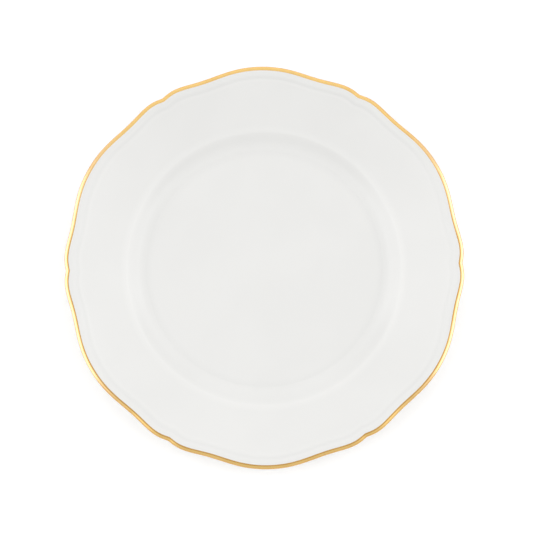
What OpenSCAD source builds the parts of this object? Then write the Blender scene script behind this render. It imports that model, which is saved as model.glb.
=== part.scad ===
// China dinner plate with a six-lobed rim: a fired body, its glaze and a gilded edge.
// The plate lies on its foot ring on the plane z = 0, and its axis is the Z axis.
// Sizes are those of the fired body. The glaze and then the gold are laid outside it.

/* [Outline] */
// Diameter over the crests of two opposite lobes
crest_d = 264; // [210:1:340]
// Number of lobes round the rim, with a notch between each two
lobes = 6; // [4:1:8]
// Height of the wave that comes once in each lobe, from the notches to the crests
wave_1 = 0.24; // [0:0.02:1]
// Height of the wave that comes twice, which makes a valley on each side of a notch
wave_2 = 1.4; // [0:0.05:3]
// Height of the wave that comes three times, which rounds the crests
wave_3 = 0.38; // [0:0.02:1]
// Depth of the notch between two lobes
notch_depth = 2.7; // [0.5:0.1:4]
// Distance along the rim over which the notch fades out, on each side
notch_reach = 8.3; // [4:0.1:12]
// Shape of the notch, from 1 for a sharp V to 2 for a round valley
notch_shape = 1.35; // [1:0.05:2]

/* [Profile] */
// Height of the flange's upper face at a crest, above the table
rim_h = 22; // [18:0.1:32]
// Diameter at which the well's floor would meet its wall, if the cove were sharp
floor_d = 166; // [120:1:210]
// How far the wall leans outwards from the floor to the shoulder
wall_run = 7.4; // [5:0.1:12]
// Depth of the well, from the shoulder to the floor
well_depth = 4.2; // [2.5:0.1:8]
// Radius of the cove at the foot of the wall
cove_r = 19; // [6:0.5:22]
// Radius of the shoulder at the top of the wall
shoulder_r = 11; // [5:0.5:14]
// Thickness of the floor
floor_t = 4.4; // [2.5:0.1:6]
// Thickness of the wall
wall_t = 3.9; // [2.5:0.1:5]
// Thickness of the flange beside the shoulder
flange_t = 3.4; // [2:0.1:4.5]
// Thickness of the flange at its edge
edge_t = 2.5; // [1.6:0.1:4]

/* [Moulded border] */
// Width of the raised border inside the rim's edge
border_w = 6.4; // [5:0.1:16]
// Height of the border above the flange
border_lift = 0.2; // [0.1:0.05:0.8]

/* [Foot] */
// How far the middle of the foot ring's face lies inside the floor's edge
foot_inset = 9.7; // [8:0.1:30]
// Width of the foot ring's face, before its edges are rounded
foot_w = 2.6; // [1.8:0.1:5]
// Depth of the hollow inside the foot ring
foot_h = 2.8; // [2:0.1:4.5]
// How much each side of the ring spreads from its face to its root
foot_spread = 1; // [0.2:0.1:2]
// Radius of the edges of the ring's face
foot_edge_r = 0.5; // [0.2:0.1:0.8]
// Radius at the ring's root
foot_root_r = 0.9; // [0.6:0.1:1.5]
// Height of the bare band at the foot, which is wiped clean of glaze
bare_h = 1; // [0.6:0.1:1.2]

/* [Glaze and gilding] */
// Thickness of the glaze
glaze_t = 0.3; // [0.25:0.05:0.5]
// Thickness of the gold
gold_t = 0.2; // [0.15:0.05:0.3]
// Width of the gold on the upper face
gold_face_w = 2.4; // [1.6:0.1:5]
// Width of the gold on the underside
gold_back_w = 1.2; // [0.8:0.1:1.5]

/* [Hidden] */

// Most degrees that one straight piece of a rounded corner turns through
arc_step = 6;
// Points along each half lobe, which crowd towards the notch by this power
half_lobe_points = 14;
crowding = 1.5;
// Distance by which cutting shapes run past what they cut
past = 6;
// Sides of a round shape in a quick view, though each is a true round
$fn = 180;

crest_r = crest_d / 2;
floor_r = floor_d / 2;
foot_r = floor_r - foot_inset;
floor_z = foot_h + floor_t;
shoulder_z = floor_z + well_depth;
gilded = glaze_t + gold_t;
// Level that lies inside the floor's thickness, between the two glazed faces
mid_floor_z = foot_h + floor_t / 2;

// ---- Plane geometry ----

function unit(v) = v / norm(v);
function right_of(v) = [v[1], -v[0]];
function turned(v, a) = [v[0] * cos(a) - v[1] * sin(a), v[0] * sin(a) + v[1] * cos(a)];
function place(corner) = [corner[0], corner[1]];
function reversed(list) = [for (i = [len(list) - 1:-1:0]) list[i]];

// Signed angle by which a path a, b, c turns at b, positive to the left
function bend(a, b, c) = atan2(cross(b - a, c - b), (b - a) * (c - b));

// Point where the line through p along u meets the line through q along v
function meeting(p, u, q, v) = p + u * cross(q - p, v) / cross(u, v);

// Point of the line from a through b at the radius r
function at_radius(a, b, r) = a + (b - a) * (r - a[0]) / (b[0] - a[0]);

function before(corners, i) = place(corners[(i + len(corners) - 1) % len(corners)]);
function after(corners, i) = place(corners[(i + 1) % len(corners)]);
function bend_at(corners, i) = bend(before(corners, i), place(corners[i]), after(corners, i));

// Length that the rounding of corner i takes from each side beside it
function taken(corners, i) = corners[i][2] * tan(abs(bend_at(corners, i)) / 2);

// Share of its radius that corner i may keep, so that the roundings on the side from i to j fit
function kept(corners, i, j) =
    let (used = taken(corners, i) + taken(corners, j))
    let (side = norm(place(corners[j]) - place(corners[i])))
    used > side ? side / used : 1;

// Corners [x, y, radius] of an anticlockwise outline, each radius limited by the sides beside it
function limited(corners) =
    let (n = len(corners))
    [for (i = [0:n - 1])
        let (share = min(kept(corners, i, (i + 1) % n), kept(corners, i, (i + n - 1) % n)))
        [corners[i][0], corners[i][1], corners[i][2] * share]];

// The same outline moved outwards by g all the way round, and kept off the far side of the axis
function grown(corners, g) =
    [for (i = [0:len(corners) - 1])
        let (here = place(corners[i]))
        let (n1 = right_of(unit(here - before(corners, i))))
        let (n2 = right_of(unit(after(corners, i) - here)))
        let (moved = here + g * (n1 + n2) / (1 + n1 * n2))
        let (radius = corners[i][2])
        [max(moved[0], 0), moved[1], radius == 0 ? 0 : radius + g * sign(bend_at(corners, i))]];

// Points of one corner: the corner itself, or an arc that touches both sides
function corner_points(corners, i) =
    let (here = place(corners[i]), radius = corners[i][2])
    let (along = unit(here - before(corners, i)), angle = bend_at(corners, i))
    let (start = here - along * taken(corners, i))
    let (centre = start - right_of(along) * radius * sign(angle))
    let (steps = ceil(abs(angle) / arc_step))
    radius == 0 ? [here] : [for (s = [0:steps]) centre + turned(start - centre, angle * s / steps)];

function rounded(corners) =
    [for (i = [0:len(corners) - 1]) each corner_points(corners, i)];

// ---- The rim's outline, seen from above ----

// Radius of the outline at the angle a from the nearest notch
function rim_radius(a) =
    let (phase = a * lobes, along = abs(a) * PI / 180 * crest_r)
    crest_r
        - wave_1 * (1 + cos(phase))
        - wave_2 * (1 - cos(2 * phase))
        + wave_3 * (1 + cos(3 * phase))
        - notch_depth * exp(-pow(along / notch_reach, notch_shape));

// The outline moved outwards by g
function outline(g) =
    [for (k = [0:lobes - 1], i = [-half_lobe_points:half_lobe_points - 1])
        let (share = i / half_lobe_points)
        let (a = 180 / lobes * sign(share) * pow(abs(share), crowding))
        let (turn = k * 360 / lobes + a)
        (rim_radius(a) + g) * [cos(turn), sin(turn)]];

// ---- The profile, as corners [radius, height, rounding] ----

floor_corner = [floor_r, floor_z];
shoulder_corner = [floor_r + wall_run, shoulder_z];
rim_corner = [crest_r, rim_h];
wall_way = unit(shoulder_corner - floor_corner);
flange_way = unit(rim_corner - shoulder_corner);
wall_back = floor_corner + wall_t * right_of(wall_way);
flange_back = shoulder_corner + flange_t * right_of(flange_way);
edge_back = rim_corner + edge_t * right_of(flange_way);
flange_back_way = unit(edge_back - flange_back);
back_cove = meeting(wall_back, wall_way, [0, foot_h], [1, 0]);
back_shoulder = meeting(wall_back, wall_way, flange_back, flange_back_way);
reach = crest_r + past;

// Upper face from beyond the rim to the axis, lifted by the given height
function face_corners(lift) =
    let (up = [0, lift])
    let (out = at_radius(shoulder_corner, rim_corner, reach) + up)
    let (shoulder = shoulder_corner + up, floor = floor_corner + up)
    [
        [out[0], out[1], 0],
        [shoulder[0], shoulder[1], shoulder_r],
        [floor[0], floor[1], cove_r],
        [0, floor_z + lift, 0]
    ];

// Underside from the axis to beyond the rim, with the foot ring
function back_corners() =
    let (out = at_radius(flange_back, edge_back, reach))
    let (inner = foot_r - foot_w / 2, outer = foot_r + foot_w / 2)
    [
        [0, foot_h, 0],
        [inner - foot_spread, foot_h, foot_root_r],
        [inner, 0, foot_edge_r],
        [outer, 0, foot_edge_r],
        [outer + foot_spread, foot_h, foot_root_r],
        [back_cove[0], back_cove[1], cove_r + wall_t],
        [back_shoulder[0], back_shoulder[1], max(shoulder_r - wall_t, 1)],
        [out[0], out[1], 0]
    ];

// Everything above the upper face
function space_corners() =
    concat(
        reversed(face_corners(0)),
        [[reach, rim_h + past, 0], [0, rim_h + past, 0]]
    );

module turned_solid(corners, g) {
    rotate_extrude() polygon(rounded(grown(limited(corners), g)));
}

// Upright prism of the rim's outline moved outwards by g
module rim_prism(g) {
    translate([0, 0, -past]) linear_extrude(rim_h + 3 * past) polygon(outline(g));
}

// The whole plate as a solid, moved outwards by g from the fired body
module plate_solid(g) {
    difference() {
        intersection() {
            turned_solid(concat(back_corners(), face_corners(border_lift)), g);
            rim_prism(g);
        }
        intersection() {
            turned_solid(space_corners(), -g);
            rim_prism(-border_w - g);
        }
    }
}

// Disc inside the middle of the foot ring, from z = low to z = high
module foot_disc(low, high) {
    translate([0, 0, low]) cylinder(r = foot_r, h = high - low);
}

// Slab that holds the bare band of the foot
module bare_slab() {
    translate([0, 0, -past]) cylinder(r = crest_r, h = bare_h + past);
}

// All that lies below the middle of the flange's thickness
module space_under_rim() {
    middle = (shoulder_corner + flange_back) / 2;
    edge_middle = (rim_corner + edge_back) / 2;
    low = -2 * rim_h;
    rotate_extrude() polygon([
        [0, low],
        [reach, low],
        at_radius(middle, edge_middle, reach),
        at_radius(middle, edge_middle, 0)
    ]);
}

// ---- The pieces ----

module porcelain_body() {
    color("whitesmoke") plate_solid(0);
}

// Glaze over the face, the edge and the underside, down to the bare band
module glaze_coat() {
    color("white") difference() {
        plate_solid(glaze_t);
        plate_solid(0);
        foot_disc(-past, mid_floor_z);
        bare_slab();
    }
}

// Glaze inside the foot ring
module foot_well_glaze() {
    color("ghostwhite") intersection() {
        difference() {
            plate_solid(glaze_t);
            plate_solid(0);
        }
        foot_disc(bare_h, mid_floor_z);
    }
}

// Gold over the glaze at the rim's edge, wider on the face than on the underside
module gold_rim_band() {
    color("goldenrod") difference() {
        plate_solid(gilded);
        plate_solid(glaze_t);
        rim_prism(gilded - gold_face_w);
        intersection() {
            rim_prism(gilded - gold_back_w);
            space_under_rim();
        }
    }
}

porcelain_body();
glaze_coat();
foot_well_glaze();
gold_rim_band();
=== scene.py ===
"""A china dinner plate with a six-lobed, gilded rim, lying on a pale studio floor."""

import math

import bmesh
import bpy
import numpy as np
from bpy.props import FloatProperty, FloatVectorProperty, IntProperty, PointerProperty
from mathutils import Matrix, Vector


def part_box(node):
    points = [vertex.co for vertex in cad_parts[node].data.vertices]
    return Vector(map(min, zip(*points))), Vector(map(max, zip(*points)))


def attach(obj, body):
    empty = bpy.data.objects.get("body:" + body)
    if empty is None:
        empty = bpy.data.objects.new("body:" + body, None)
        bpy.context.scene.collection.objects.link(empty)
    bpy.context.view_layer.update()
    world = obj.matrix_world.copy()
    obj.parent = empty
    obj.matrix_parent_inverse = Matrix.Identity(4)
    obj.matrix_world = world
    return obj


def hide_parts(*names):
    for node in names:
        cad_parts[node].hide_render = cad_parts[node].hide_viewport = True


bl_info = {
    "name": "China Dinner Plate",
    "version": (1, 0, 0),
    "blender": (4, 5, 0),
    "location": "View3D > Sidebar > Plate",
    "description": "Makes a glazed and gilded dinner plate, and the studio it lies in",
    "category": "Object",
}

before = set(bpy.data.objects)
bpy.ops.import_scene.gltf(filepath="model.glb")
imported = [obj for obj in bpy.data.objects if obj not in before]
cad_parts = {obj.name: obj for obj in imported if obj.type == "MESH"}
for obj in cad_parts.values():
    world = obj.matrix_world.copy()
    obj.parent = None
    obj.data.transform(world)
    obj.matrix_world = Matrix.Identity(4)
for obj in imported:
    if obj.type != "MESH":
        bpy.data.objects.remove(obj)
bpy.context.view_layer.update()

MM = 0.001
BODY_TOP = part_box("porcelain_body")[1]
GLAZE_LOW, GLAZE_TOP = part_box("glaze_coat")
GOLD_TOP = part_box("gold_rim_band")[1]
BORDER_LIFT = 0.2 * MM


# ---- What a user may change ----


def length(name, description, default):
    """A size in metres, shown in the scene's own unit."""
    return FloatProperty(
        name=name, description=description, default=default,
        unit="LENGTH", subtype="DISTANCE", precision=5,
    )


def colour(name, description, default):
    return FloatVectorProperty(
        name=name, description=description, default=default, subtype="COLOR", size=3, min=0, max=1
    )


class PlateOutline(bpy.types.PropertyGroup):
    """The rim seen from above."""

    crest_radius: length("Crest radius", "Radius of the body at the crest of a lobe", BODY_TOP.y)
    lobes: IntProperty(name="Lobes", description="Lobes round the rim", default=6, min=3, max=12)
    wave_1: length("First wave", "Height of the wave that comes once in a lobe", 0.24 * MM)
    wave_2: length("Second wave", "Height of the wave that comes twice in a lobe", 1.4 * MM)
    wave_3: length("Third wave", "Height of the wave that comes three times in a lobe", 0.38 * MM)
    notch_depth: length("Notch depth", "Depth of the notch between two lobes", 2.7 * MM)
    notch_reach: length("Notch reach", "Distance over which a notch fades out", 8.3 * MM)
    notch_shape: FloatProperty(
        name="Notch shape", description="1 is a sharp V and 2 is a round valley",
        default=1.35, min=1, max=2,
    )


class PlateProfile(bpy.types.PropertyGroup):
    """The plate cut through its axis. Sizes are those of the fired body."""

    rim_height: length(
        "Rim height", "Height of the flange's face at a crest", BODY_TOP.z - BORDER_LIFT
    )
    floor_radius: length(
        "Floor radius", "Where the floor would meet a wall with no cove", 83 * MM
    )
    wall_run: length("Wall run", "How far the wall leans out from floor to shoulder", 7.4 * MM)
    well_depth: length("Well depth", "Height of the shoulder above the floor", 4.2 * MM)
    cove_radius: length("Cove radius", "Radius at the foot of the wall", 19 * MM)
    crease_inset: length(
        "Crease inset", "How far inside the cove's corner the floor starts to rise", 4.8 * MM
    )
    crease_rise: length(
        "Crease rise", "How far the wall has risen at the cove's corner", 0.75 * MM
    )
    shoulder_radius: length("Shoulder radius", "Radius at the top of the wall", 11 * MM)
    floor_thickness: length("Floor thickness", "Thickness of the floor", 4.4 * MM)
    wall_thickness: length("Wall thickness", "Thickness of the wall", 3.9 * MM)
    flange_thickness: length(
        "Flange thickness", "Thickness of the flange at the shoulder", 3.4 * MM
    )
    edge_thickness: length("Edge thickness", "Thickness of the flange at its edge", 2.5 * MM)
    edge_fall: length(
        "Edge fall", "How far the face falls away towards the edge, under the gold", 1.4 * MM
    )
    edge_fall_width: length("Edge fall width", "Width of the falling part of the face", 2.4 * MM)
    border_width: length("Border width", "Width of the raised border inside the edge", 6.4 * MM)
    border_lift: length("Border lift", "Height of the border above the flange", BORDER_LIFT)
    border_slope: length("Border slope", "Width of the border's sloping inner side", 1.8 * MM)
    thread_inset: length(
        "Thread inset", "How far inside the edge the fine raised thread runs", 8.9 * MM
    )
    thread_lift: length("Thread lift", "Height of the thread above the flange", 0.07 * MM)
    foot_inset: length(
        "Foot inset", "How far the foot's middle lies inside the floor's edge", 9.7 * MM
    )
    foot_width: length("Foot width", "Width of the foot's face", 2.6 * MM)
    foot_height: length("Foot height", "Depth of the hollow inside the foot", 2.8 * MM)
    foot_spread: length(
        "Foot spread", "How much each side of the foot spreads to its root", 1 * MM
    )


class PlateSkin(bpy.types.PropertyGroup):
    """The glaze and the gold."""

    glaze: length("Glaze", "Thickness of the glaze", GLAZE_TOP.y - BODY_TOP.y)
    gold: length("Gold", "Thickness of the gold", GOLD_TOP.y - GLAZE_TOP.y)
    bare: length(
        "Bare band", "Height of the band at the foot that is wiped clean of glaze", GLAZE_LOW.z
    )
    gold_face: length("Gold on the face", "Width of the gold on the upper face", 2.5 * MM)
    gold_back: length("Gold on the back", "Width of the gold on the underside", 1.2 * MM)
    glaze_white: colour("Glaze", "Colour of the glazed porcelain", (0.686, 0.684, 0.67))
    # Pooled glaze and painted shade: the greyer colour for the hollows.
    glaze_pool: colour(
        "Pooled glaze and shade", "Colour where the glaze has run together, and of the painted shade in the hollows", (0.612, 0.612, 0.602)
    )
    # Thin glaze and painted highlight: the whiter colour for the shoulder and thread.
    glaze_thin: colour("Thin glaze and highlight", "Colour where the glaze has run thin, and of the painted highlight on the shoulder and thread", (0.73, 0.725, 0.71))
    bare_white: colour("Bare body", "Colour of the unglazed foot", (0.60, 0.58, 0.545))
    gold_bright: colour("Gold", "Colour of the burnished gold", (0.95, 0.64, 0.25))
    # Paler gold for a painted highlight at the left and right of the rim.
    gold_worn: colour(
        "Gold side highlight", "Paler gold for the painted highlight at the rim's left and right", (0.96, 0.65, 0.34)
    )
    # Darker gold for the painted dark reflection along the gold's edges; also the gold's edge tint.
    gold_deep: colour("Dark gold", "Darker gold for the painted dark reflection at the gold's edges, and its edge tint", (0.66, 0.38, 0.10))


class StudioSettings(bpy.types.PropertyGroup):
    """The floor, the light and the camera."""

    floor_colour: colour("Floor", "Colour of the studio floor", (0.92, 0.92, 0.92))
    floor_glow: FloatProperty(
        name="Floor glow", description="Light from the far floor", default=0.35, min=0
    )
    tent: FloatProperty(
        name="Tent", description="Strength of the white light tent overhead", default=0.86, min=0
    )
    tent_sides: FloatProperty(
        name="Tent sides", default=0.9,
        description="How much brighter the tent is over the plate's left and right",
    )
    tent_lean: FloatProperty(
        name="Tent lean", default=0.18,
        description="How much brighter the tent is behind the plate than in front",
    )
    side_light: FloatProperty(
        name="Side light", description="Power of each side softbox in watts", default=3.4
    )
    view_width: length("View width", "Width of what the camera sees at the plate", 349.3 * MM)
    view_distance: length("Camera distance", "Distance from the camera to the plate", 2.2)
    view_lean: FloatProperty(
        name="Camera lean", description="Angle between the view and the plate's axis",
        default=math.radians(4.8), subtype="ANGLE", unit="ROTATION",
    )
    view_roll: FloatProperty(
        name="Camera roll", description="Turn of the camera about its view",
        default=math.radians(1.1), subtype="ANGLE", unit="ROTATION",
    )


# ---- The profile: corners (radius, height, rounding) in metres ----


def place(corner):
    return Vector(corner[:2])


def right_of(way):
    return Vector((way.y, -way.x))


def meeting(p, u, q, v):
    """Where the line through p along u meets the line through q along v."""
    return p + u * ((q - p).cross(v) / u.cross(v))


def at_radius(a, b, radius):
    return a + (b - a) * ((radius - a.x) / (b.x - a.x))


def at_height(a, b, height):
    return a + (b - a) * ((height - a.y) / (b.y - a.y))


def bend_at(corners, i):
    """Angle by which a closed outline turns at corner i, positive to the left."""
    here = place(corners[i])
    arriving = here - place(corners[i - 1])
    leaving = place(corners[(i + 1) % len(corners)]) - here
    return math.atan2(arriving.cross(leaving), arriving.dot(leaving))


def grown(corners, distance):
    """A closed anticlockwise outline moved outwards, and kept off the far side of the axis."""
    moved = []
    for i, corner in enumerate(corners):
        here = place(corner)
        n1 = right_of((here - place(corners[i - 1])).normalized())
        n2 = right_of((place(corners[(i + 1) % len(corners)]) - here).normalized())
        spot = here + distance * (n1 + n2) / (1 + n1.dot(n2))
        rounding = corner[2] + math.copysign(distance, bend_at(corners, i)) if corner[2] else 0
        moved.append((max(spot.x, 0), spot.y, max(rounding, 0)))
    return moved


class Section:
    """The fired body's half section, anticlockwise.

    It runs from the hollow of the foot, round the rim's edge, to the floor of the well.
    """

    # Places in the list of corners
    FOOT_ROOT_IN, FOOT_IN, FOOT_OUT, FOOT_ROOT_OUT = 1, 2, 3, 4
    EDGE_BACK, EDGE_NOSE, EDGE_FACE = 7, 8, 9

    # Roundings
    ROUND_FOOT_ROOT = 0.9 * MM
    ROUND_FOOT_EDGE = 0.5 * MM
    ROUND_EDGE_BACK = 0.35 * MM
    ROUND_EDGE_NOSE = 0.6 * MM
    ROUND_EDGE_FACE = 1.2 * MM
    ROUND_BORDER_HIGH = 6 * MM
    ROUND_BORDER_LOW = 5 * MM
    ROUND_THREAD = 8 * MM
    ROUND_THREAD_FOOT = 20 * MM
    ROUND_CREASE = 6 * MM

    # How far the thread's inner side spreads before it meets the flange
    THREAD_SPREAD = 2 * MM

    def __init__(self, size):
        foot_radius = size.floor_radius - size.foot_inset
        floor_z = size.foot_height + size.floor_thickness
        floor = Vector((size.floor_radius, floor_z))
        shoulder = floor + Vector((size.wall_run, size.well_depth))
        crest = Vector((bpy.context.scene.plate_outline.crest_radius, size.rim_height))
        wall_way = (shoulder - floor).normalized()
        flange_way = (crest - shoulder).normalized()
        wall_back = floor + size.wall_thickness * right_of(wall_way)
        flange_back = shoulder + size.flange_thickness * right_of(flange_way)
        edge_back = crest + size.edge_thickness * right_of(flange_way)
        back_cove = meeting(wall_back, wall_way, Vector((0, size.foot_height)), Vector((1, 0)))
        flange_back_way = (edge_back - flange_back).normalized()
        back_shoulder = meeting(wall_back, wall_way, flange_back, flange_back_way)

        def on_flange(inset, lift):
            return at_radius(shoulder, crest, crest.x - inset) + Vector((0, lift))

        half_slope = size.border_slope / 2
        border_high = on_flange(size.border_width - half_slope, size.border_lift)
        border_low = on_flange(size.border_width + half_slope, 0)
        thread = on_flange(size.thread_inset, size.thread_lift)
        thread_foot = on_flange(size.thread_inset + self.THREAD_SPREAD, 0)
        crease = Vector((floor.x - size.crease_inset, floor_z))
        cove = floor + Vector((0, size.crease_rise))
        edge_back = at_radius(flange_back, edge_back, crest.x)
        edge_nose = crest + Vector((0, size.border_lift - size.edge_fall))
        edge_face = on_flange(size.edge_fall_width, size.border_lift)
        inner = foot_radius - size.foot_width / 2
        outer = foot_radius + size.foot_width / 2
        self.slope = flange_way.y / flange_way.x
        self.shoulder = shoulder
        self.corners = [
            (0, size.foot_height, 0),
            (inner - size.foot_spread, size.foot_height, self.ROUND_FOOT_ROOT),
            (inner, 0, self.ROUND_FOOT_EDGE),
            (outer, 0, self.ROUND_FOOT_EDGE),
            (outer + size.foot_spread, size.foot_height, self.ROUND_FOOT_ROOT),
            (*back_cove, size.cove_radius + size.wall_thickness),
            (*back_shoulder, size.shoulder_radius - size.wall_thickness),
            (*edge_back, self.ROUND_EDGE_BACK),
            (*edge_nose, self.ROUND_EDGE_NOSE),
            (*edge_face, self.ROUND_EDGE_FACE),
            (*border_high, self.ROUND_BORDER_HIGH),
            (*border_low, self.ROUND_BORDER_LOW),
            (*thread, self.ROUND_THREAD),
            (*thread_foot, self.ROUND_THREAD_FOOT),
            (*shoulder, size.shoulder_radius),
            (*cove, size.cove_radius),
            (*crease, self.ROUND_CREASE),
            (0, floor_z, 0),
        ]


# ---- Making a turned piece ----

TURN_STEPS = 420
LONGEST_EDGE = 4 * MM
# Turn of the path for each segment of a rounded corner, where it shows and where it is hidden
FINE = math.radians(4)
COARSE = math.radians(9)
# A rounding up to this size takes segments that turn three times as far
SMALL_ROUNDING = 2 * MM
FEWEST_SEGMENTS = 3
# A corner that bends by less than this stays as it is
STRAIGHT = math.radians(0.5)
SEAM_GAP = 0.002 * MM
SMOOTH_BELOW = math.radians(50)


def edit_mesh():
    return bmesh.from_edit_mesh(bpy.context.edit_object.data)


def show_edit(mesh):
    mesh.select_flush_mode()
    bmesh.update_edit_mesh(bpy.context.edit_object.data)


def pick_vertices(*corners):
    """Selects only the vertices nearest to these corners of the profile."""
    bpy.ops.mesh.select_all(action="DESELECT")
    mesh = edit_mesh()
    for corner in corners:
        target = Vector((corner[0], 0, corner[1]))
        min(mesh.verts, key=lambda v: (v.co - target).length).select = True
    show_edit(mesh)


def start_wire(name, corners):
    """A new piece in edit mode: one vertex, extruded from corner to corner."""
    bpy.ops.object.select_all(action="DESELECT")
    bpy.ops.mesh.primitive_plane_add(size=MM)
    piece = bpy.context.object
    piece.name = piece.data.name = name
    bpy.ops.object.mode_set(mode="EDIT")
    bpy.ops.mesh.select_mode(type="VERT")
    bpy.ops.mesh.select_all(action="SELECT")
    bpy.ops.mesh.merge(type="CENTER")
    at = Vector((0, 0))
    for i, corner in enumerate(corners):
        step = place(corner) - at
        at = place(corner)
        if i == 0:
            bpy.ops.transform.translate(value=(step.x, 0, step.y))
        else:
            bpy.ops.mesh.extrude_region_move(TRANSFORM_OT_translate={"value": (step.x, 0, step.y)})
    return piece


def round_corners(corners, turn):
    """Bevels each rounded corner between the ends, with about one segment for each turn."""
    last = len(corners) - 1
    for i, corner in enumerate(corners):
        if not corner[2] or i in (0, last):
            continue
        bend = abs(bend_at(corners, i))
        if bend < STRAIGHT:
            continue
        step = turn if corner[2] > SMALL_ROUNDING else 3 * turn
        pick_vertices(corner)
        bpy.ops.mesh.bevel(
            offset_type="OFFSET", offset=corner[2] * math.tan(bend / 2),
            segments=max(FEWEST_SEGMENTS, round(bend / step)),
            profile=0.5, affect="VERTICES", clamp_overlap=False,
        )


def split_long_edges(longest):
    """Cuts every edge longer than this into equal parts, so that it can take the rim's curve."""
    bpy.ops.mesh.select_mode(type="EDGE")
    mesh = edit_mesh()
    long_edges = [e for e in mesh.edges if e.calc_length() > longest]
    spans = [(e.verts[0].co.copy(), e.verts[1].co.copy()) for e in long_edges]
    for a, b in spans:
        bpy.ops.mesh.select_all(action="DESELECT")
        mesh = edit_mesh()
        middle = (a + b) / 2
        edge = min(
            mesh.edges, key=lambda e: ((e.verts[0].co + e.verts[1].co) / 2 - middle).length
        )
        edge.select = True
        show_edit(mesh)
        bpy.ops.mesh.subdivide(number_cuts=math.ceil((b - a).length / longest) - 1)
    bpy.ops.mesh.select_mode(type="VERT")


def turn_on_wheel():
    """Spins the wire once round the axis and closes the seam and the poles."""
    split_long_edges(LONGEST_EDGE)
    bpy.ops.mesh.select_all(action="SELECT")
    bpy.ops.mesh.spin(steps=TURN_STEPS, angle=math.tau, center=(0, 0, 0), axis=(0, 0, 1))
    bpy.ops.mesh.select_all(action="SELECT")
    bpy.ops.mesh.remove_doubles(threshold=SEAM_GAP)
    bpy.ops.mesh.normals_make_consistent(inside=False)
    bpy.ops.object.mode_set(mode="OBJECT")
    bpy.ops.object.shade_smooth_by_angle(angle=SMOOTH_BELOW)


def wave(angle, outline):
    """How far the rim lies inside its crests at each angle, as a negative length."""
    lobe = math.tau / outline.lobes
    from_notch = (angle + lobe / 2) % lobe - lobe / 2
    phase = from_notch * outline.lobes
    along = np.abs(from_notch) * outline.crest_radius / outline.notch_reach
    return (
        -outline.wave_1 * (1 + np.cos(phase))
        - outline.wave_2 * (1 - np.cos(2 * phase))
        + outline.wave_3 * (1 + np.cos(3 * phase))
        - outline.notch_depth * np.exp(-(along**outline.notch_shape))
    )


def eased(values, low, high):
    share = np.clip((values - low) / (high - low), 0, 1)
    return share * share * (3 - 2 * share)


def read_points(piece):
    points = np.zeros(len(piece.data.vertices) * 3)
    piece.data.vertices.foreach_get("co", points)
    return points.reshape(-1, 3)


def write_points(piece, points):
    piece.data.vertices.foreach_set("co", points.ravel())
    piece.data.update()


def store(piece, name, values):
    """Keeps one number for each vertex, for the piece's material to read."""
    layer = piece.data.attributes.new(name, "FLOAT", "POINT")
    layer.data.foreach_set("value", values.astype(np.float32))


def stored_values(piece, name):
    values = np.zeros(len(piece.data.vertices))
    piece.data.attributes[name].data.foreach_get("value", values)
    return values


# The lobes reach their full depth this far inside the moulded border
PLAIN_BAND = 4 * MM
# The warp of firing, as waves (height, count round the rim, phase)
FIRING_WARP = ((0.12 * MM, 2, 0.7), (0.06 * MM, 3, 2.0))


def shape_rim(piece, section):
    """Draws the round rim in to the lobes along the flange's slope, and warps it slightly."""
    outline = bpy.context.scene.plate_outline
    size = bpy.context.scene.plate_profile
    points = read_points(piece)
    radius = np.hypot(points[:, 0], points[:, 1])
    angle = np.arctan2(points[:, 1], points[:, 0])
    inner = section.shoulder.x + size.shoulder_radius
    outer = outline.crest_radius - size.border_width - PLAIN_BAND
    drawn = eased(radius, inner, outer) * wave(angle, outline)
    scale = (radius + drawn) / np.maximum(radius, MM)
    points[:, 0] *= scale
    points[:, 1] *= scale
    warp = sum(height * np.cos(count * angle + phase) for height, count, phase in FIRING_WARP)
    flange = eased(radius, section.shoulder.x, outline.crest_radius)
    points[:, 2] += drawn * section.slope + warp * flange
    write_points(piece, points)
    store(piece, "from_edge", outline.crest_radius + wave(angle, outline) - (radius + drawn))
    store(piece, "round_rim", angle * outline.crest_radius)


def finish_piece(piece, material, slot, *nodes):
    """Gives the piece its material and its place in the frame."""
    piece.data.materials.clear()
    piece.data.materials.append(material)
    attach(piece, "root")
    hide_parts(*nodes)


# ---- Materials ----


class Tree:
    """A small hand for a node tree."""

    def __init__(self, tree):
        self.tree = tree

    def add(self, kind, **values):
        """A node with these settings and inputs. A value that is an output is linked."""
        node = self.tree.nodes.new("ShaderNode" + kind)
        for name, value in values.items():
            if hasattr(node, name):
                setattr(node, name, value)
            else:
                self.give(node, name.replace("_", " "), value)
        return node

    def give(self, node, name, value):
        socket = node.inputs[int(name)] if name.isdigit() else node.inputs[name]
        if isinstance(value, bpy.types.NodeSocket):
            self.tree.links.new(value, socket)
        else:
            socket.default_value = value

    def mapped(self, value, low, high, to_low=0.0, to_high=1.0):
        node = self.add("MapRange", Value=value, interpolation_type="SMOOTHSTEP")
        self.give(node, "From Min", low)
        self.give(node, "From Max", high)
        self.give(node, "To Min", to_low)
        self.give(node, "To Max", to_high)
        return node.outputs["Result"]

    def maths(self, operation, *values):
        node = self.add("Math", operation=operation)
        for i, value in enumerate(values):
            self.give(node, str(i), value)
        return node.outputs[0]


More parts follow.
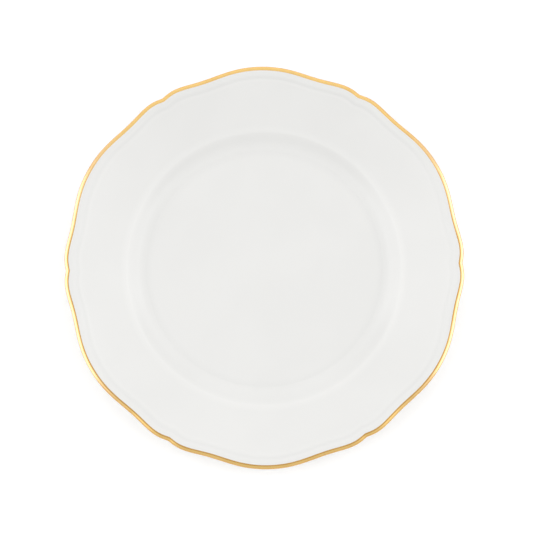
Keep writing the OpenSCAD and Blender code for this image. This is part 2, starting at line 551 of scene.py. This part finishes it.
class Finish(Tree):
    """One material and its shader."""

    # Sockets of a mix node for colours, which shares their names with other kinds
    MIX_SHARE, MIX_A, MIX_B = "0", "6", "7"
    MIX_RESULT = 2

    def __init__(self, name):
        self.material = bpy.data.materials.new(name)
        self.material.use_nodes = True
        super().__init__(self.material.node_tree)
        self.shader = self.tree.nodes["Principled BSDF"]
        self.place = self.tree.nodes.new("ShaderNodeTexCoord").outputs["Object"]

    def set(self, **values):
        for name, value in values.items():
            self.give(self.shader, name.replace("_", " "), value)

    def noise(self, size, detail=2.0, where=None):
        """Noise whose blotches are about this size in metres."""
        spot = where or self.place
        return self.add("TexNoise", Scale=1 / size, Detail=detail, Vector=spot).outputs["Fac"]

    def stored(self, name):
        return self.add("Attribute", attribute_name=name).outputs["Fac"]

    def mixed(self, share, a, b):
        """Colour a where the share is 0 and b where it is 1."""
        node = self.add("Mix", data_type="RGBA")
        self.give(node, self.MIX_SHARE, share)
        for socket, value in ((self.MIX_A, a), (self.MIX_B, b)):
            linked = isinstance(value, bpy.types.NodeSocket)
            self.give(node, socket, value if linked else (*value, 1))
        return node.outputs[self.MIX_RESULT]

    def bump(self, height, depth, under=None):
        """Bump of this depth in metres, over another bump if one is given."""
        node = self.add("Bump", Height=height, Distance=depth, Strength=1.0)
        if under:
            self.give(node, "Normal", under)
        return node.outputs["Normal"]


# Scale of the streaks' place along the rim, which draws them out into lines
STREAK_STRETCH = 0.06
# How much deeper the gold is in its patches
PATCH_DEPTH = 0.15


def dimmed(tone, share):
    return tuple(share * part for part in tone)


def glaze_material(skin):
    """Clear glaze over white porcelain, greyer in hollows (pooled glaze and painted shade), whiter
    on ridges (thin glaze and painted highlight).
    """
    n = Finish("glazed_porcelain")
    cloud = n.mapped(n.noise(45 * MM), low=0.35, high=0.65)
    ground = n.mixed(cloud, skin.glaze_white, dimmed(skin.glaze_white, 0.985))
    # Greyer in the hollows: pooled glaze and painted shade.
    pooling_and_shade = n.mixed(n.stored("pooled_glaze_and_shade"), ground, skin.glaze_pool)
    # Whiter on the shoulder and thread: thin glaze and a painted highlight.
    n.set(
        Base_Color=n.mixed(n.stored("glaze_thin"), pooling_and_shade, skin.glaze_thin),
        Roughness=n.mapped(n.noise(12 * MM), low=0.3, high=0.7, to_low=0.10, to_high=0.16),
        IOR=1.5,
        Coat_Weight=0.6,
        Coat_Roughness=0.04,
    )
    swell = n.bump(n.noise(30 * MM, detail=1), depth=0.03 * MM)
    skin_grain = n.noise(2.2 * MM, detail=1)
    n.set(Normal=n.bump(skin_grain, depth=0.0015 * MM, under=swell), Coat_Normal=swell)
    return n.material


def bare_material(skin):
    """Unglazed porcelain: matt, finely grained, a little grey where it has slid on tables."""
    n = Finish("bare_porcelain_foot")
    stain = n.mapped(n.noise(6 * MM, detail=4), low=0.45, high=0.75)
    grain = n.noise(0.35 * MM, detail=3)
    n.set(
        Base_Color=n.mixed(stain, skin.bare_white, dimmed(skin.bare_white, 0.8)),
        Roughness=n.mapped(grain, low=0.3, high=0.7, to_low=0.55, to_high=0.75),
        Normal=n.bump(grain, depth=0.02 * MM),
    )
    return n.material


def gold_material(skin):
    """Burnished gold, brushed along the rim: painted dark reflection at its edges, painted
    highlight at left and right.
    """
    n = Finish("burnished_gold")
    from_edge = n.stored("from_edge")
    along_rim = n.maths("MULTIPLY", n.stored("round_rim"), STREAK_STRETCH)
    way = n.add("CombineXYZ", X=along_rim, Y=from_edge)
    streak = n.noise(0.22 * MM, detail=3, where=way.outputs[0])
    patch = n.mapped(n.noise(9 * MM, detail=3), low=0.4, high=0.7)
    spot = n.add("SeparateXYZ", Vector=n.place).outputs

    # Painted dark reflection: a dark line along the gold's inner edge, strongest towards the front
    # (-Y), and one along its outermost edge.
    inner = n.mapped(from_edge, low=0.3 * skin.gold_face, high=0.68 * skin.gold_face)
    inner_line_strength = n.mapped(spot["Y"], low=90 * MM, high=0.0, to_low=0.1, to_high=0.85)
    outer = n.mapped(from_edge, low=0.1 * MM, high=-0.3 * MM, to_low=0.0, to_high=0.8)
    painted_dark_lines = n.maths("MULTIPLY_ADD", inner, inner_line_strength, outer)
    # Random deeper patches, added over the painted dark lines.
    patches_and_painted_dark = n.maths("MULTIPLY_ADD", patch, PATCH_DEPTH, painted_dark_lines)

    # Painted highlight: the gold paler at the left and right of the rim.
    pale_sides = n.mapped(n.maths("ABSOLUTE", spot["X"]), low=85 * MM, high=118 * MM)
    ground = n.mixed(pale_sides, skin.gold_bright, skin.gold_worn)
    n.set(
        Base_Color=n.mixed(patches_and_painted_dark, ground, skin.gold_deep),
        Metallic=1.0,
        Specular_Tint=(*skin.gold_deep, 1),
        Roughness=n.mapped(streak, low=0.3, high=0.7, to_low=0.10, to_high=0.17),
        Normal=n.bump(streak, depth=0.006 * MM),
    )
    return n.material


# ---- Operators, one for each piece or group of like pieces ----


def path_from(corners, start, first, last):
    """Corners from first to last, after a free start on the side that arrives at first."""
    return [(*start, 0), *corners[first : last + 1]]


class PLATE_OT_fired_body(bpy.types.Operator):
    """Turns the porcelain body with its foot ring"""

    bl_idname = "plate.fired_body"
    bl_label = "Fired Body"

    def execute(self, context):
        section = Section(context.scene.plate_profile)
        piece = start_wire("fired_porcelain", section.corners)
        round_corners(section.corners, COARSE)
        turn_on_wheel()
        shape_rim(piece, section)
        material = bare_material(context.scene.plate_skin)
        finish_piece(piece, material, "bare_porcelain", "porcelain_body")
        return {"FINISHED"}


def bare_line(corners, root, foot, height):
    """Where the glaze ends on the foot's side between its root and its face."""
    return at_height(place(corners[root]), place(corners[foot]), height)


def stripe(values, middle, width, strength):
    """A soft stripe that is strongest where the values are at its middle."""
    return strength * np.exp(-(((values - middle) / width) ** 2))


def store_depth(piece, section):
    """Stores where the glaze pools, with painted shade, and where it is thin on shoulder and
    thread, with a painted highlight.
    """
    size = bpy.context.scene.plate_profile
    points = read_points(piece)
    radius = np.hypot(points[:, 0], points[:, 1])
    inside = stored_values(piece, "from_edge")
    face = points[:, 2] > size.foot_height + size.floor_thickness

    crease = size.floor_radius - 6.2 * MM
    below_border = size.border_width + 0.2 * MM
    foot_root = size.floor_radius - size.foot_inset + size.foot_width
    # Pooled glaze and painted shade: darker in the cove's crease, inside the border and round the
    # foot's root.
    pooling_and_shade = stripe(radius, crease, width=1.5 * MM, strength=0.35) * face
    pooling_and_shade += stripe(inside, below_border, width=0.9 * MM, strength=0.4) * face
    pooling_and_shade += stripe(radius, foot_root, width=1.2 * MM, strength=0.8) * ~face
    store(piece, "pooled_glaze_and_shade", pooling_and_shade)

    # Thin glaze and painted highlight: lighter on the shoulder's crest and on the thread.
    shoulder = section.shoulder.x + 0.3 * MM
    thinning_and_highlight = stripe(radius, shoulder, width=1.3 * MM, strength=0.45) * face
    thinning_and_highlight += stripe(inside, size.thread_inset, width=0.9 * MM, strength=0.12) * face
    store(piece, "glaze_thin", thinning_and_highlight)


class PLATE_OT_glaze(bpy.types.Operator):
    """Lays the glaze over the plate and in the hollow of its foot"""

    bl_idname = "plate.glaze"
    bl_label = "Glaze"

    def execute(self, context):
        skin = context.scene.plate_skin
        section = Section(context.scene.plate_profile)
        material = glaze_material(skin)
        body, glazed = section.corners, grown(section.corners, skin.glaze)
        last = len(body) - 1

        root, foot = Section.FOOT_ROOT_OUT, Section.FOOT_OUT
        inner = path_from(body, bare_line(body, root, foot, skin.bare), root, last)
        outer = path_from(glazed, bare_line(glazed, root, foot, skin.bare), root, last)
        coat = self.shell("glaze_over_plate", list(reversed(inner)), outer, section)
        finish_piece(coat, material, "clear_glaze", "glaze_coat")

        root, foot = Section.FOOT_ROOT_IN, Section.FOOT_IN
        inner = path_from(body[::-1], bare_line(body, root, foot, skin.bare), last - root, last)
        outer = path_from(glazed[::-1], bare_line(glazed, root, foot, skin.bare), last - root, last)
        pool = self.shell("glaze_in_foot", list(reversed(inner)), outer, section)
        finish_piece(pool, material, "clear_glaze", "foot_well_glaze")
        return {"FINISHED"}

    @staticmethod
    def shell(name, hidden, shown, section):
        """A skin between two paths, one from the axis and one back to it."""
        piece = start_wire(name, hidden + shown)
        round_corners(hidden, COARSE)
        round_corners(shown, FINE)
        turn_on_wheel()
        shape_rim(piece, section)
        store_depth(piece, section)
        return piece


# How far the gold's face draws back where it meets the glaze, so that its side slopes
FEATHER = 0.7 * MM
# How far the gold's hidden face lies under the glaze's
SUNK = 0.05 * MM
# The sway of a hand-held brush, as waves (share, count round the rim, phase)
BRUSH_SWAY = ((0.5, 17, 0.4), (0.3, 41, 2.1), (0.2, 73, 4))
SWAY_WIDTH = 0.12 * MM


class PLATE_OT_gold_line(bpy.types.Operator):
    """Paints the gold line over the edge"""

    bl_idname = "plate.gold_line"
    bl_label = "Gold Line"

    def execute(self, context):
        skin = context.scene.plate_skin
        section = Section(context.scene.plate_profile)
        outer = self.edge_path(section, skin.glaze + skin.gold, FEATHER)
        inner = self.edge_path(section, skin.glaze - SUNK, 0)[::-1]
        piece = start_wire("gold_line", outer + inner)
        pick_vertices(outer[0], inner[-1])
        bpy.ops.mesh.edge_face_add()
        round_corners(outer, FINE)
        round_corners(inner, COARSE)
        turn_on_wheel()
        shape_rim(piece, section)
        self.waver(piece, skin)
        finish_piece(piece, gold_material(skin), "burnished_gold", "gold_rim_band")
        return {"FINISHED"}

    @staticmethod
    def edge_path(section, depth, feather):
        """Path round the edge from the underside to the face, at this depth over the body."""
        skin = bpy.context.scene.plate_skin
        corners = grown(section.corners, depth)
        back, nose, face = Section.EDGE_BACK, Section.EDGE_NOSE, Section.EDGE_FACE
        rim = corners[nose][0]
        back_end = rim - skin.gold_back + feather / 2
        face_end = rim - skin.gold_face + feather
        start = at_radius(place(corners[back - 1]), place(corners[back]), back_end)
        end = at_radius(place(corners[nose]), place(corners[face]), face_end)
        return [(*start, 0), corners[back], corners[nose], (*end, 0)]

    @staticmethod
    def waver(piece, skin):
        """Lets the gold's inner edge waver a little, as a hand-held brush does."""
        points = read_points(piece)
        inside = stored_values(piece, "from_edge")
        angle = np.arctan2(points[:, 1], points[:, 0])
        sway = sum(share * np.sin(count * angle + phase) for share, count, phase in BRUSH_SWAY)
        moved = SWAY_WIDTH * sway * eased(inside, skin.gold_face / 2, skin.gold_face)
        radius = np.hypot(points[:, 0], points[:, 1])
        points[:, :2] *= ((radius + moved) / radius)[:, None]
        write_points(piece, points)


# Where the middle of each side softbox is, from the plate's axis and from the floor
SOFTBOX_OUT, SOFTBOX_UP = 1.0, 0.5
FLOOR_RADIUS = 40
# How far the camera's aim lies from the axis, to its right and up
AIM_RIGHT, AIM_UP = 1.5 * MM, 0.15 * MM


def softbox(name, spot, width, height, power):
    """A rectangle of soft light at a spot, turned to the plate."""
    plate = Vector((0, 0, 0))
    bpy.ops.object.light_add(type="AREA", location=spot)
    lamp = bpy.context.object
    lamp.name = name
    lamp.rotation_euler = (plate - Vector(spot)).to_track_quat("-Z", "Y").to_euler()
    lamp.data.shape = "RECTANGLE"
    lamp.data.size, lamp.data.size_y = width, height
    lamp.data.energy = power
    lamp.visible_camera = False


def floor_material(studio):
    """Matt white paper, nearly even, which glows by itself away from the plate."""
    n = Finish("studio_paper")
    away = n.add("VectorMath", operation="LENGTH")
    n.give(away, "0", n.place)
    tone = n.mapped(n.noise(0.6), low=0.3, high=0.7)
    glow = n.mapped(
        away.outputs["Value"], low=0.16, high=0.5, to_low=0.11, to_high=studio.floor_glow
    )
    n.set(
        Base_Color=n.mixed(tone, studio.floor_colour, dimmed(studio.floor_colour, 0.985)),
        Roughness=0.9,
        Emission_Color=(1, 1, 1, 1),
        Emission_Strength=glow,
    )
    return n.material


class PLATE_OT_studio(bpy.types.Operator):
    """Sets the floor, the light and the camera"""

    bl_idname = "plate.studio"
    bl_label = "Studio"

    def execute(self, context):
        studio = context.scene.plate_studio
        self.lay_floor(studio)
        self.set_light(context.scene, studio)
        self.set_camera(context.scene, studio)
        return {"FINISHED"}

    @staticmethod
    def lay_floor(studio):
        bpy.ops.object.select_all(action="DESELECT")
        bpy.ops.mesh.primitive_circle_add(vertices=96, radius=FLOOR_RADIUS, fill_type="NGON")
        floor = bpy.context.object
        floor.name = "studio_floor"
        floor.data.materials.append(floor_material(studio))

    @staticmethod
    def set_light(scene, studio):
        world = bpy.data.worlds.new("light_tent")
        world.use_nodes = True
        n = Tree(world.node_tree)
        way = n.add("SeparateXYZ", Vector=n.add("TexCoord").outputs["Generated"]).outputs
        across, along = n.maths("ABSOLUTE", way["X"]), n.maths("ABSOLUTE", way["Y"])
        dome = n.mapped(way["Z"], low=0.08, high=0.35, to_low=1.0, to_high=studio.tent)
        rising = n.mapped(across, low=0.22, high=0.62)
        falling = n.mapped(across, low=0.95, high=0.8)
        middle = n.mapped(along, low=0.5, high=0.2, to_low=0.0, to_high=studio.tent_sides)
        sides = n.maths("MULTIPLY", n.maths("MULTIPLY", rising, falling), middle)
        even = n.maths("ADD", dome, sides)
        back = world.node_tree.nodes["Background"]
        n.give(back, "Color", (1, 1, 1, 1))
        n.give(back, "Strength", n.maths("MULTIPLY_ADD", way["Y"], studio.tent_lean, even))
        scene.world = world
        scene.view_settings.view_transform = "Standard"
        for side in (-1, 1):
            spot = (side * SOFTBOX_OUT, 0, SOFTBOX_UP)
            softbox("side_softbox", spot, width=1.2, height=0.5, power=studio.side_light)

    @staticmethod
    def set_camera(scene, studio):
        lean, roll = studio.view_lean, studio.view_roll
        toward = Vector((0, -math.sin(lean), math.cos(lean)))
        upright = Vector((math.sin(roll), math.cos(roll), 0))
        right = upright.cross(toward).normalized()
        upright = toward.cross(right)
        aim = Vector((0, 0, BODY_TOP.z)) + AIM_RIGHT * right + AIM_UP * upright
        bpy.ops.object.camera_add(location=aim + toward * studio.view_distance)
        camera = bpy.context.object
        camera.name = "studio_camera"
        camera.rotation_mode = "QUATERNION"
        camera.rotation_quaternion = Matrix((right, upright, toward)).transposed().to_quaternion()
        camera.data.lens = camera.data.sensor_width * studio.view_distance / studio.view_width
        camera.data.clip_end = 100
        scene.camera = camera


class PLATE_PT_making(bpy.types.Panel):
    """Lists the steps of making the plate"""

    bl_label = "Dinner Plate"
    bl_space_type = "VIEW_3D"
    bl_region_type = "UI"
    bl_category = "Plate"

    def draw(self, context):
        for step in STEPS:
            self.layout.operator(step.bl_idname)
        for group in ("plate_outline", "plate_profile", "plate_skin", "plate_studio"):
            box = self.layout.box()
            settings = getattr(context.scene, group)
            for name in settings.__annotations__:
                box.prop(settings, name)


STEPS = (PLATE_OT_fired_body, PLATE_OT_glaze, PLATE_OT_gold_line, PLATE_OT_studio)
GROUPS = {
    "plate_outline": PlateOutline,
    "plate_profile": PlateProfile,
    "plate_skin": PlateSkin,
    "plate_studio": StudioSettings,
}


def register():
    for name, group in GROUPS.items():
        bpy.utils.register_class(group)
        setattr(bpy.types.Scene, name, PointerProperty(type=group))
    for kind in (*STEPS, PLATE_PT_making):
        bpy.utils.register_class(kind)


def unregister():
    for kind in (PLATE_PT_making, *reversed(STEPS)):
        bpy.utils.unregister_class(kind)
    for name, group in GROUPS.items():
        delattr(bpy.types.Scene, name)
        bpy.utils.unregister_class(group)


def main():
    register()
    bpy.ops.plate.fired_body()
    bpy.ops.plate.glaze()
    bpy.ops.plate.gold_line()
    bpy.ops.plate.studio()


if __name__ == "__main__":
    main()
